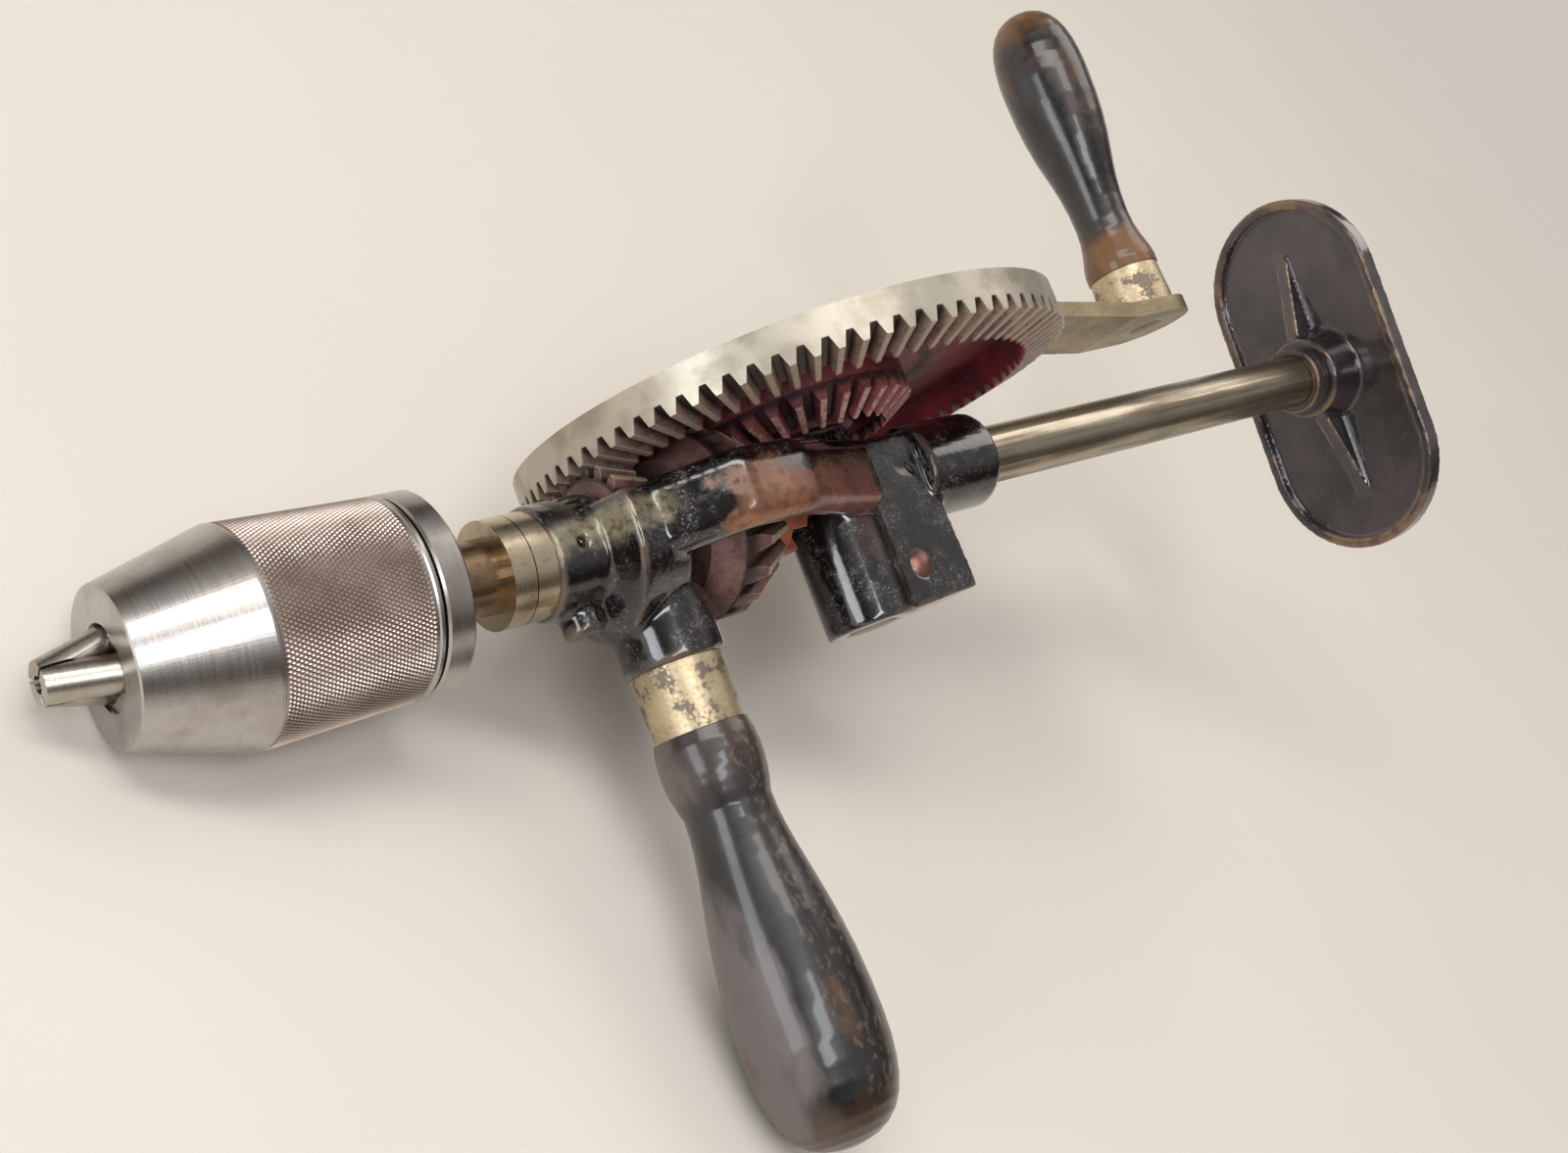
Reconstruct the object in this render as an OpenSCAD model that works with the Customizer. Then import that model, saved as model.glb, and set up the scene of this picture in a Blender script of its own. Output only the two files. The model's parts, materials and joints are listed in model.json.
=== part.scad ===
// Two speed breast drill: chuck, yoke frame, bevel gear wheel with crank, side handle and breast plate.
// Every piece is drawn in the tool's own frame: the spindle runs along X, from the chuck at -X to the
// breast plate at +X, and the gear wheel turns about Y. The origin is where those two axes cross.
// The whole tool is then laid down on the floor by placed().

/* [Bevel gears] */
// Pitch radius of the outer tooth ring on the gear wheel
outer_pitch_r = 76; // [72:0.5:80]
// Teeth in the outer ring
outer_teeth = 78; // [60:1:84]
// Teeth of the high speed pinion
high_teeth = 21; // [20:1:22]
// Pitch radius of the inner tooth ring on the gear wheel
inner_pitch_r = 31; // [30:0.5:32]
// Teeth in the inner ring
inner_teeth = 30; // [28:1:32]
// Teeth of the low speed pinion
low_teeth = 18; // [17:1:18]
// Width of the outer tooth ring, along the radius
outer_face = 13; // [10:0.5:14]
// Width of the inner tooth ring, along the radius
inner_face = 9; // [7:0.5:10]
// Largest radius of the low speed pinion, where its tooth gaps run out
low_blank_r = 25.2; // [24.5:0.1:25.6]
// Share of the pitch that a tooth fills at the pitch circle
tooth_share = 0.455; // [0.42:0.005:0.47]
// Tooth height above the pitch line, in modules
addendum = 0.82; // [0.7:0.02:0.9]
// Tooth depth below the pitch line, in modules
dedendum = 1.1; // [1.05:0.05:1.2]
// Pressure angle of the teeth
pressure_angle = 20; // [14.5:0.5:22]

/* [Gear wheel] */
// Height of the rim's back edge above the spindle axis
wheel_back_y = 30.5; // [29:0.5:34]
// Thickness of the dished web
web_t = 4; // [3:0.5:5]
// Radius of the wheel's hub
wheel_hub_r = 15; // [13:0.5:17]
// Radius of the fixed stud that the wheel turns on
stud_r = 6.5; // [5:0.25:7]

/* [Frame] */
// Front face of the frame, along the spindle axis
frame_front = -95.9; // [-98:0.5:-94]
// Radius of the front bearing neck
neck_r = 14.8; // [14:0.2:16]
// Radius of the boss that takes the gear stud
stud_boss_r = 12.7; // [11.5:0.2:13]
// Lower end of the stud boss and the lug
boss_end_y = -39; // [-42:0.5:-36]
// Upper end of the stud boss, just under the wheel's hub
boss_top_y = 15.6; // [14:0.2:15.8]
// Right end of the flat lug
lug_end_x = 34.4; // [32:0.5:38]
// Thickness of the flat lug
lug_t = 18; // [16:0.5:20]
// Height of the casting's top edge behind the gear stud
block_top_y = 11; // [10:0.5:11.5]
// End of the tube socket
socket_end_x = 56.3; // [52:0.5:60]
// Outer radius of the tube socket
socket_r = 13.9; // [12.5:0.1:15]
// Half height of the two yoke bars
bar_half_h = 10.3; // [9:0.1:10.5]
// Half thickness of the two yoke bars
bar_half_t = 5.3; // [4.5:0.1:5.5]
// How far the middle of a yoke bar bows out from the spindle axis
bar_bow_z = 32.2; // [31.8:0.2:34]

/* [Side handle] */
// Place of the side handle along the spindle
handle_x = -65.2; // [-66:0.2:-64]
// Radius of the side handle's boss on the frame
handle_boss_r = 13.8; // [13.5:0.1:15]
// End of the boss, where the ferrule starts
handle_boss_end_y = -33.8; // [-36:0.2:-32]
// Length of the side handle's ferrule
handle_ferrule_l = 17.5; // [15:0.5:20]
// Radius of the side handle's ferrule
handle_ferrule_r = 12.2; // [11:0.1:13]
// Length of the wooden side grip below its ferrule
handle_grip_l = 108; // [95:1:120]
// Largest radius of the side grip
handle_grip_r = 18.7; // [17:0.1:21]
// Radius of the steel stud in the side handle
handle_stud_r = 4.8; // [4:0.2:5.5]

/* [Breast end] */
// Outer radius of the tube
tube_r = 8.46; // [8:0.02:9.5]
// Wall of the tube
tube_wall = 1.6; // [1.2:0.1:2.2]
// Place of the breast plate's rim along the spindle
plate_x = 228; // [215:0.5:245]
// Length of the breast plate
plate_l = 124; // [110:0.5:140]
// Width of the breast plate
plate_w = 65; // [60:0.5:74]
// Height of the plate's lip
plate_lip_h = 6; // [5.5:0.5:9]
// Thickness of the plate and of its lip
plate_t = 3.5; // [3:0.25:4.5]
// Turn of the breast plate about the tube
plate_roll = 3.4; // [0:0.2:6]

/* [Crank] */
// Length of the crank from the gear axis to its grip
crank_l = 145.6; // [135:0.2:155]
// Angle of the crank about the gear axis
crank_angle = 2.4; // [-6:0.2:6]
// Thickness of the flat crank arm
crank_t = 4.8; // [4:0.2:6]
// Width of the crank arm at the gear axis
crank_w = 32; // [30:0.5:36]
// Width of the crank arm at the grip
crank_end_w = 29; // [26:0.5:30]
// Height of the arm's foot on the wheel's hub
crank_root_y = 36; // [34:0.5:38]
// Where the arm starts to slope down, from the gear axis
crank_bend_x = 70; // [60:1:90]
// Height of the arm's foot at the grip, lower than at the hub
crank_end_y = 27; // [26.6:0.2:30]
// Radius of the crank grip's ferrule
crank_ferrule_r = 11.6; // [10.5:0.1:12.5]
// Length of the crank grip's ferrule
crank_ferrule_l = 13.4; // [11:0.2:15]
// Length of the wooden crank grip above its ferrule
crank_grip_l = 92; // [80:1:100]
// Largest radius of the crank grip
crank_grip_r = 14.2; // [12.5:0.1:16]
// Radius of the stud that the crank grip turns on
crank_stud_r = 4; // [3.5:0.1:4.5]

/* [Spindle] */
// Radius of the spindle
spindle_r = 8; // [7:0.1:8.5]
// Radius of the tarnished neck behind the chuck
spindle_neck_r = 9.5; // [9:0.1:11]
// Radius of the two thrust bearing rings
thrust_r = 13.7; // [13:0.1:14.5]
// Width of each thrust bearing ring
thrust_w = 6.1; // [5:0.1:6.5]
// Radius of a thrust bearing ball
ball_r = 2; // [1.6:0.1:2.2]
// Number of thrust bearing balls
balls = 12; // [8:1:13]
// Travel of the clutch collar
clutch_travel = 4; // [3.9:0.05:4.2]

/* [Chuck] */
// Front face of the chuck's nose
nose_x = -202.6; // [-204:0.2:-201]
// Radius of the nose face
nose_r = 18.4; // [18:0.1:19.5]
// Place of the corner between the cone and the knurled barrel
corner_x = -175; // [-178:0.5:-172]
// Radius of the chuck at that corner
corner_r = 26; // [25.5:0.1:27.5]
// Back end of the turning sleeve
sleeve_back_x = -133.8; // [-136:0.2:-132]
// Radius of the sleeve at its back end
sleeve_back_r = 24.5; // [24:0.1:26]
// Width of the plain collar behind the sleeve
chuck_collar_w = 7.4; // [6:0.1:8]
// Wall of the sleeve's conical nose
sleeve_wall = 2.6; // [2.2:0.1:3]
// Slope of the jaws to the spindle axis
jaw_slope = 16; // [15:0.2:17]
// How far the jaw tips stand out of the nose
jaw_reach = 14.4; // [12:0.2:15]
// Radius of the three jaws together at their tips
jaw_tip_r = 5.2; // [5:0.1:6]
// Radius of one round jaw
jaw_r = 4.4; // [4.2:0.1:4.6]
// Length of a jaw, along the spindle
jaw_l = 34; // [30:0.5:35]
// Radius of the hole that the jaw tips close on
grip_r = 2; // [1.5:0.1:2.4]
// Gap between neighbouring jaws
jaw_gap = 0.8; // [0.6:0.1:1]
// Length of the jaws' gripping faces
jaw_grip_l = 12; // [8:0.5:13]

/* [Fits] */
// Radial running clearance of a shaft in its bearing
run_fit = 0.06; // [0.03:0.01:0.1]
// Clear gap between pieces that pass each other
pass_gap = 0.4; // [0.3:0.05:0.6]

/* [Lying pose] */
// Roll of the tool about its spindle, as it lies
lie_roll = 15.15; // [0:0.05:40]
// Pitch of the spindle, as it lies
lie_pitch = -15.16; // [-20:0.05:20]
// Place of the tool's origin on the floor, along X
lie_x = -13.03; // [-60:0.01:60]
// Place of the tool's origin on the floor, along Y
lie_y = 11.39; // [-60:0.01:60]
// Height of the tool's origin above the floor
lie_z = 70.85; // [0:0.01:120]

/* [Hidden] */
$fn = 64;
eps = 0.01;
sunk = 0.6;
far = 60;

steel = "#a9a7a3";
nickel = "#b3a78f";
japan = "#1b1a1a";
maroon = "#6f2a2c";
brass = "#b0945a";
black_wood = "#2a211c";

// Gears
outer_module = 2 * outer_pitch_r / outer_teeth;
inner_module = 2 * inner_pitch_r / inner_teeth;
high_pitch_r = outer_pitch_r * high_teeth / outer_teeth;
low_pitch_r = inner_pitch_r * low_teeth / inner_teeth;
rim_r = outer_pitch_r + 2.3;
outer_in_r = rim_r - outer_face;
inner_out_r = inner_pitch_r + 2;
inner_in_r = inner_out_r - inner_face;
web_y = wheel_back_y - web_t;
high_front_x = -(rim_r - 3.3);
high_back_x = -(outer_in_r - 1.5);
low_front_x = -(inner_out_r + 14);
low_back_x = -(inner_in_r + 4);
low_disc_x = low_front_x - 7;
low_disc_r = low_blank_r - 6;

// Frame
shell_wall = 2;
shell_front = high_front_x - 3;
shell_back = high_back_x + 3;
pocket_front_x = shell_front + shell_wall;
pocket_gap = 0.9;
shell_top_y = 9;
stub_x = -87;
stub_r = 5.6;
stub_end_y = -20.5;
bush_wall = 2.4;
rear_journal_r = 5;
rear_bush_r = rear_journal_r + 2;
rear_end_x = -(stud_r + 1.2);
socket_front_x = inner_pitch_r - 1;
tube_in_x = stud_r + 14;
lug_pin_r = 3;
lug_pin_at = [17, -27];
oil_hole_r = 1.5;
oil_hole_x = -88;
handle_root_y = -15.6;
handle_stud_top_y = -21;

// Bars: centre points from the shell to the rear block, as [x, z]
bar_path = [[shell_back - 6, 18.5], [low_front_x - 3, bar_bow_z], [low_front_x + 15, bar_bow_z - 1.5], [3, 13]];

// Crank and wheel
crank_hub_y = crank_root_y + crank_t;
crank_pad = 17;
stud_shoulder_y = crank_hub_y + 0.3;
stud_thread_r = stud_r - 1.5;
washer_t = 1.2;
washer_r = stud_r + 1.2;
nut_h = 5;
nut_r = stud_r + 1.2;
wheel_foot_y = boss_top_y + pass_gap;
rivet_r = 1.7;
rivet_head_r = 2.8;
rivet_head_h = 1.6;
rivet_l = 12;
rivet_at = (stud_r + wheel_hub_r) / 2;
crank_stud_head_r = crank_stud_r + 1.5;
crank_stud_head_h = 0.5;
grip_base_y = crank_end_y + crank_t + pass_gap;
crank_stud_end_y = grip_base_y + crank_ferrule_l + crank_grip_l - 18;

// Chuck
chuck_back_x = sleeve_back_x + 0.6 + chuck_collar_w;
body_r = sleeve_back_r - 4;
jaw_tip_x = nose_x - jaw_reach;
jaw_end_x = jaw_tip_x + jaw_l;
nut_setback = 7;
nut_w = 10;
nut_front_x = nose_x + nut_setback;
nut_back_x = nut_front_x + nut_w;
lip_t = 0.9;
sleeve_run = 0.6;
thread_r = 7;
spindle_nose_x = chuck_back_x - 26;
shank_r = body_r - 4.5;
cone_rise = (corner_r - nose_r) / (corner_x - nose_x);
cone_in_r = nose_r - sleeve_wall / cos(atan(cone_rise));
bore_x = nose_x + (body_r - cone_in_r) / cone_rise;
body_front_x = nose_x + lip_t + 0.2;
jaw_rise = tan(jaw_slope);
nut_gap = 0.25;
nut_bite = 1;
jaw_relief = 1.4;
lip_play = 0.4;
lip_r = jaw_cone_r(nose_x + lip_t) + lip_play;
jaw_count = 3;
jaw_step = 360 / jaw_count;

// Handles and breast end
ferrule_wall = 1.3;
handle_stud_end_y = handle_boss_end_y - handle_ferrule_l - 0.6 * handle_grip_l;
crank_grip_end = crank_ferrule_l + crank_grip_l;
plate_back_x = plate_x + plate_lip_h;
plate_boss_x = plate_x - 9;
plate_boss_r = 13.5;
plate_collar_w = 6;
plate_collar_r = tube_r + 2.6;
rib_t = 5;

// Thrust bearing
race_front_x = frame_front - thrust_w;
cup_front_x = race_front_x - 0.3 - thrust_w;
ball_track_r = (spindle_r + thrust_r) / 2 + 0.3;
ball_x = race_front_x - 0.15;

// Clutch
dogs = 6;
dog_l = 4.8;
dog_out_r = 13.4;
collar_neck_r = inner_in_r * (low_pitch_r - addendum * inner_module) / inner_pitch_r - 0.7;
dog_in_r = spindle_r + 1.2;
dog_arc = 26;
clutch_front_x = low_back_x + pass_gap;
collar_w = 5.6;
clutch_back_x = clutch_front_x + collar_w;
key_w = 4;
key_sink = 2;
key_front_x = clutch_front_x + 0.5;
journal_x = -stud_boss_r - 0.5;

// Lays the whole tool down on the floor
module placed() {
    translate([lie_x, lie_y, lie_z]) rotate([0, lie_pitch, 0]) rotate([lie_roll, 0, 0]) children();
}

// Turned shapes: outline points are [radius, place along the axis]
module turned_x(outline) rotate([0, 90, 0]) rotate_extrude() polygon(outline);
module turned_y(outline) rotate([-90, 0, 0]) rotate_extrude() polygon(outline);
module rod_x(x0, x1, r) translate([x0, 0, 0]) rotate([0, 90, 0]) cylinder(h = x1 - x0, r = r);
module rod_y(y0, y1, r) translate([0, y0, 0]) rotate([-90, 0, 0]) cylinder(h = y1 - y0, r = r);

// Points of a cubic curve from a to d
function curve(a, b, c, d, n) = [for (i = [0:n]) let (t = i / n, s = 1 - t)
    s * s * s * a + 3 * s * s * t * b + 3 * s * t * t * c + t * t * t * d];

// Involute roll angle at radius r over base radius rb, in degrees
function roll(rb, r) = let (c = acos(min(1, rb / r))) tan(c) * 180 / PI - c;

// Half angle of a pinion tooth at radius r
function half_tooth(rp, n, r) = let (rb = rp * cos(pressure_angle))
    tooth_share * 180 / n + roll(rb, rp) - roll(rb, max(r, rb));

// Outline of a pinion at its pitch plane, with the first tooth on the plus axis
module pinion_outline(rp, n, module_mm) {
    tip = rp + addendum * module_mm;
    root = rp - dedendum * module_mm;
    radii = [root, rp - 0.45 * module_mm, rp, tip];
    polygon([for (i = [0:n - 1], side = [-1, 1], j = [0:3])
        let (r = radii[side < 0 ? j : 3 - j], a = i * 360 / n + side * half_tooth(rp, n, r))
        r * [cos(a), sin(a)]]);
}

// Bevel pinion teeth between two planes along X, drawn toward the crossing of the axes
module pinion_teeth(rp, n, module_mm, pitch_x, big_x, small_x) {
    grow = big_x / pitch_x;
    translate([big_x, 0, 0]) rotate([0, 90, 0]) rotate([0, 0, 90])
        linear_extrude(height = small_x - big_x, scale = small_x / big_x)
            scale(grow) pinion_outline(rp, n, module_mm);
}

// Ring of bevel teeth on the gear wheel: every edge of a tooth points at the crossing of the axes
module tooth_ring(pitch_r, pinion_r, n, module_mm, in_r, out_r, base_y) {
    slope = tan(pressure_angle);
    share = tooth_share * PI * module_mm / 2;
    tip_y = pinion_r - addendum * module_mm;
    root_y = pinion_r + dedendum * module_mm;
    tip_half = (share - addendum * module_mm * slope) / pitch_r * 180 / PI;
    root_half = (share + dedendum * module_mm * slope) / pitch_r * 180 / PI;
    steps = [for (i = [0:n - 1]) let (a = 180 + (i + 0.5) * 360 / n)
        each [[a - root_half, root_y], [a - tip_half, tip_y], [a + tip_half, tip_y], [a + root_half, root_y]]];
    count = len(steps);
    points = [for (s = steps) let (d = [cos(s[0]), -sin(s[0])])
        each [for (q = [[out_r, s[1] * out_r / pitch_r], [in_r, s[1] * in_r / pitch_r],
            [in_r, base_y], [out_r, base_y]]) [q[0] * d[0], q[1], q[0] * d[1]]]];
    faces = [for (i = [0:count - 1], k = [0:3]) let (m = (i + 1) % count, l = (k + 1) % 4)
        [4 * i + k, 4 * m + k, 4 * m + l, 4 * i + l]];
    polyhedron(points = points, faces = faces, convexity = 10);
}

// One bowed bar of the yoke, a capsule section carried along its path
module yoke_bar(side) {
    for (i = [0:len(bar_path) - 2]) hull() for (p = [bar_path[i], bar_path[i + 1]], s = [-1, 1])
        translate([p[0], s * (bar_half_h - bar_half_t), side * p[1]]) sphere(r = bar_half_t, $fn = 20);
}

module frame_casting() {
    high_grow = high_front_x / -outer_pitch_r;
    pinion_tip = (high_pitch_r + addendum * outer_module) * high_grow;
    pocket_r = pinion_tip + pocket_gap;
    pocket_back_r = pocket_r * high_back_x / pocket_front_x;
    color(japan) difference() {
        union() {
            rod_x(frame_front, shell_front + 1, neck_r);
            intersection() {
                turned_x([[0, shell_front - 4], [neck_r, shell_front - 4], [pocket_r + shell_wall, shell_front],
                    [pocket_back_r + shell_wall, shell_back], [0, shell_back]]);
                translate([-2 * far, -far, -far]) cube([4 * far, far + shell_top_y, 2 * far]);
            }
            translate([handle_x, 0, 0]) rod_y(handle_boss_end_y, handle_root_y, handle_boss_r);
            translate([stub_x, 0, 0]) rod_y(stub_end_y, 0, stub_r);
            yoke_bar(1);
            yoke_bar(-1);
            rod_y(boss_end_y, boss_top_y, stud_boss_r);
            translate([0, 0, -lug_t / 2]) linear_extrude(lug_t)
                polygon([[0, boss_end_y], [lug_end_x, boss_end_y + 2], [lug_end_x - 1.5, -8],
                    [lug_end_x + 4, block_top_y], [0, block_top_y]]);
            rod_x(socket_front_x, socket_end_x, socket_r);
        }
        rod_x(frame_front - eps, pocket_front_x + eps, spindle_r + bush_wall);
        turned_x([[0, pocket_front_x], [pocket_r, pocket_front_x], [pocket_back_r, shell_back],
            [pocket_back_r, shell_back + 1], [0, shell_back + 1]]);
        turned_x([[0, shell_back - eps], [low_disc_r + pocket_gap, shell_back - eps],
            [low_disc_r + pocket_gap, low_disc_x], [low_blank_r + pocket_gap, low_front_x], [0, low_front_x]]);
        translate([pocket_front_x, 0, -pocket_back_r])
            cube([shell_back - pocket_front_x + 1, far, 2 * pocket_back_r]);
        translate([handle_x, 0, 0]) rod_y(handle_boss_end_y - eps, handle_stud_top_y, handle_stud_r);
        rod_y(boss_end_y - eps, boss_top_y + eps, stud_r);
        rod_x(-stud_boss_r - 1, rear_end_x, rear_bush_r);
        rod_x(tube_in_x, socket_end_x + eps, tube_r);
        translate([lug_pin_at[0], lug_pin_at[1], -lug_t]) cylinder(h = 2 * lug_t, r = lug_pin_r);
        translate([oil_hole_x, 0, 0]) cylinder(h = far, r = oil_hole_r);
    }
}

module front_bush() {
    color(nickel) difference() {
        rod_x(frame_front, pocket_front_x, spindle_r + bush_wall);
        rod_x(frame_front - eps, pocket_front_x + eps, spindle_r + run_fit);
    }
}

module rear_bush() {
    color(brass) difference() {
        rod_x(journal_x + 0.8, rear_end_x, rear_bush_r);
        rod_x(journal_x, rear_end_x + eps, rear_journal_r + run_fit);
    }
}

// Groove that the bearing balls run in
module ball_groove() {
    translate([ball_x, 0, 0]) rotate([0, 90, 0]) rotate_extrude()
        translate([ball_track_r, 0]) circle(r = ball_r + run_fit);
}

// The ring that stays with the frame
module thrust_race() {
    color(nickel) difference() {
        rod_x(race_front_x, frame_front, thrust_r);
        rod_x(race_front_x - eps, frame_front + eps, spindle_r + pass_gap);
        ball_groove();
    }
}

// The ring that turns with the spindle
module thrust_cup() {
    color(nickel) difference() {
        rod_x(cup_front_x, cup_front_x + thrust_w, thrust_r);
        rod_x(cup_front_x - eps, race_front_x, spindle_r);
        ball_groove();
    }
}

module thrust_balls() {
    color(steel) for (i = [0:balls - 1])
        rotate([i * 360 / balls, 0, 0]) translate([ball_x, ball_track_r, 0]) sphere(r = ball_r);
}

// Fixed stud: pressed into the frame, with a threaded end for its nut
module gear_stud() {
    color(steel) turned_y([[0, boss_end_y], [stud_r, boss_end_y], [stud_r, stud_shoulder_y],
        [stud_thread_r, stud_shoulder_y], [stud_thread_r, stud_shoulder_y + washer_t + nut_h + 0.8],
        [0, stud_shoulder_y + washer_t + nut_h + 0.8]]);
}

module stud_washer() {
    color(steel) difference() {
        rod_y(stud_shoulder_y, stud_shoulder_y + washer_t, washer_r);
        rod_y(stud_shoulder_y - eps, stud_shoulder_y + washer_t + eps, stud_thread_r);
    }
}

module stud_nut() {
    foot = stud_shoulder_y + washer_t;
    color(steel) difference() {
        translate([0, foot, 0]) rotate([-90, 0, 0]) cylinder(h = nut_h, r = nut_r, $fn = 6);
        rod_y(foot - eps, foot + nut_h + eps, stud_thread_r);
    }
}

// Low dome standing on its flat face, along Z
module dome(r, h) {
    ball = (r * r + h * h) / (2 * h);
    intersection() {
        translate([0, 0, h - ball]) sphere(r = ball);
        cylinder(h = h, r = r);
    }
}

// Peened pin across the flat lug
module lug_pin() {
    color(steel) translate([lug_pin_at[0], lug_pin_at[1], 0]) {
        cylinder(h = lug_t, r = lug_pin_r, center = true);
        for (side = [0, 180]) rotate([side, 0, 0]) translate([0, 0, lug_t / 2]) dome(lug_pin_r + 0.9, 1.3);
    }
}

// Places children where the rivets join the crank arm to the wheel
module at_rivets() {
    for (s = [0, 180]) rotate([0, s - crank_angle, 0]) translate([rivet_at, 0, 0]) children();
}

module gear_wheel() {
    color(maroon) difference() {
        union() {
            rod_y(wheel_foot_y, crank_root_y, wheel_hub_r);
            rod_y(web_y, wheel_back_y, rim_r);
            tooth_ring(outer_pitch_r, high_pitch_r, outer_teeth, outer_module, outer_in_r, rim_r, web_y + 1);
            tooth_ring(inner_pitch_r, low_pitch_r, inner_teeth, inner_module, inner_in_r, inner_out_r, web_y + 1);
        }
        rod_y(wheel_foot_y - eps, crank_root_y + eps, stud_r + run_fit);
        at_rivets() rod_y(crank_root_y - rivet_l, crank_root_y + eps, rivet_r);
    }
}

// Flat tapering bar with round ends
module crank_outline() {
    half = crank_w / 2;
    end_half = crank_end_w / 2;
    tilt = asin((half - end_half) / crank_l);
    circle(r = half);
    translate([crank_l, 0]) circle(r = end_half);
    polygon([for (s = [-1, 1], e = [0, 1]) let (far_end = s < 0 ? e == 1 : e == 0, r = far_end ? end_half : half)
        [(far_end ? crank_l : 0) + r * sin(tilt), s * r * cos(tilt)]]);
}

// Side view of the arm: flat on the hub and at the grip, sloping between
module crank_side() {
    foot = [[-far, crank_root_y], [crank_bend_x, crank_root_y], [crank_l - crank_pad, crank_end_y],
        [crank_l + far, crank_end_y]];
    polygon(concat(foot, [for (i = [3:-1:0]) foot[i] + [0, crank_t]]));
}

module crank_arm() {
    color(steel) difference() {
        rotate([0, -crank_angle, 0]) intersection() {
            rotate([-90, 0, 0]) linear_extrude(2 * far) crank_outline();
            translate([0, 0, -far]) linear_extrude(2 * far) crank_side();
        }
        rod_y(0, 2 * far, stud_r + run_fit);
        at_rivets() rod_y(0, 2 * far, rivet_r);
        at_grip() rod_y(0, 2 * far, crank_stud_r);
    }
}

module crank_rivets() {
    color(steel) at_rivets() {
        rod_y(crank_root_y - rivet_l, crank_hub_y, rivet_r);
        translate([0, crank_hub_y, 0]) rotate([-90, 0, 0]) dome(rivet_head_r, rivet_head_h);
    }
}

// Places children on the axis of the crank grip
module at_grip() rotate([0, -crank_angle, 0]) translate([crank_l, 0, 0]) children();

module crank_stud() {
    color(steel) at_grip() {
        rod_y(crank_end_y, crank_stud_end_y, crank_stud_r);
        translate([0, crank_end_y, 0]) rotate([90, 0, 0]) dome(crank_stud_head_r, crank_stud_head_h);
    }
}

// Metal band round the root of a wooden grip, standing on its foot along Y
module ferrule(l, r, taper) {
    difference() {
        turned_y([[0, 0], [r, 0], [r, 0.25 * l], [r - taper, l], [0, l]]);
        rod_y(-eps, l + eps, r - taper - ferrule_wall);
    }
}

module crank_ferrule() {
    color(brass) at_grip() translate([0, grip_base_y, 0]) ferrule(crank_ferrule_l, crank_ferrule_r, 0.6);
}

// Outline of the crank grip, from its root to its tip, as [radius, height]
function crank_grip_outline() = let (root = crank_ferrule_r - 0.6, l = crank_ferrule_l, e = crank_grip_end,
    r = crank_grip_r, waist = root - 2.2)
    concat([[0, 0], [root - ferrule_wall, 0], [root - ferrule_wall, l], [root + 0.5, l]],
        curve([root + 0.5, l], [root + 1.2, l + 6], [waist, l + 9], [waist, l + 18], 6),
        curve([waist, l + 18], [waist, l + 38], [r, l + 40], [r, e - 24], 8),
        curve([r, e - 24], [r, e - 8], [r * 0.7, e], [0, e], 9));

module crank_grip() {
    color(black_wood) at_grip() difference() {
        translate([0, grip_base_y, 0]) turned_y(crank_grip_outline());
        rod_y(grip_base_y - eps, crank_stud_end_y + 0.5, crank_stud_r + run_fit);
    }
}

module spindle() {
    color(nickel) difference() {
        turned_x([[0, spindle_nose_x], [thread_r, spindle_nose_x], [thread_r, chuck_back_x],
            [spindle_neck_r, chuck_back_x], [spindle_neck_r, cup_front_x], [spindle_r, cup_front_x],
            [spindle_r, journal_x], [rear_journal_r, journal_x], [rear_journal_r, rear_end_x - 0.3],
            [0, rear_end_x - 0.3]]);
        key_slot(0);
    }
}

// Room for the clutch key
module key_slot(gap) {
    translate([key_front_x, spindle_r - key_sink, -key_w / 2 - gap])
        cube([journal_x - key_front_x + eps, 2 * key_sink + gap, key_w + 2 * gap]);
}

module clutch_key() color(steel) key_slot(0);

// Dog teeth between two places along X
module dog_teeth(x0, x1) {
    translate([x0, 0, 0]) rotate([0, 90, 0]) linear_extrude(x1 - x0) intersection() {
        difference() {
            circle(r = dog_out_r);
            circle(r = dog_in_r);
        }
        union() for (i = [0:dogs - 1]) rotate((i + 0.5) * 360 / dogs)
            polygon([[0, 0], far * [cos(dog_arc / 2), sin(dog_arc / 2)], far * [cos(dog_arc / 2), -sin(dog_arc / 2)]]);
    }
}

module high_pinion() {
    hub_r = spindle_r + 4;
    color(maroon) difference() {
        union() {
            pinion_teeth(high_pitch_r, high_teeth, outer_module, -outer_pitch_r, high_front_x, high_back_x);
            rod_x(high_front_x + pass_gap, low_disc_x - pass_gap, hub_r);
        }
        rod_x(-2 * far, 0, spindle_r + run_fit);
    }
}

// The tooth gaps run out into the smooth back of the pinion's turned blank
module low_pinion() {
    color(maroon) difference() {
        intersection() {
            pinion_teeth(low_pitch_r, low_teeth, inner_module, -inner_pitch_r, low_disc_x - 1, low_back_x);
            turned_x([[0, low_disc_x], [low_disc_r, low_disc_x], [low_blank_r, low_front_x],
                [low_blank_r, low_back_x + 1], [0, low_back_x + 1]]);
        }
        rod_x(-2 * far, 0, spindle_r);
    }
}

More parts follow.
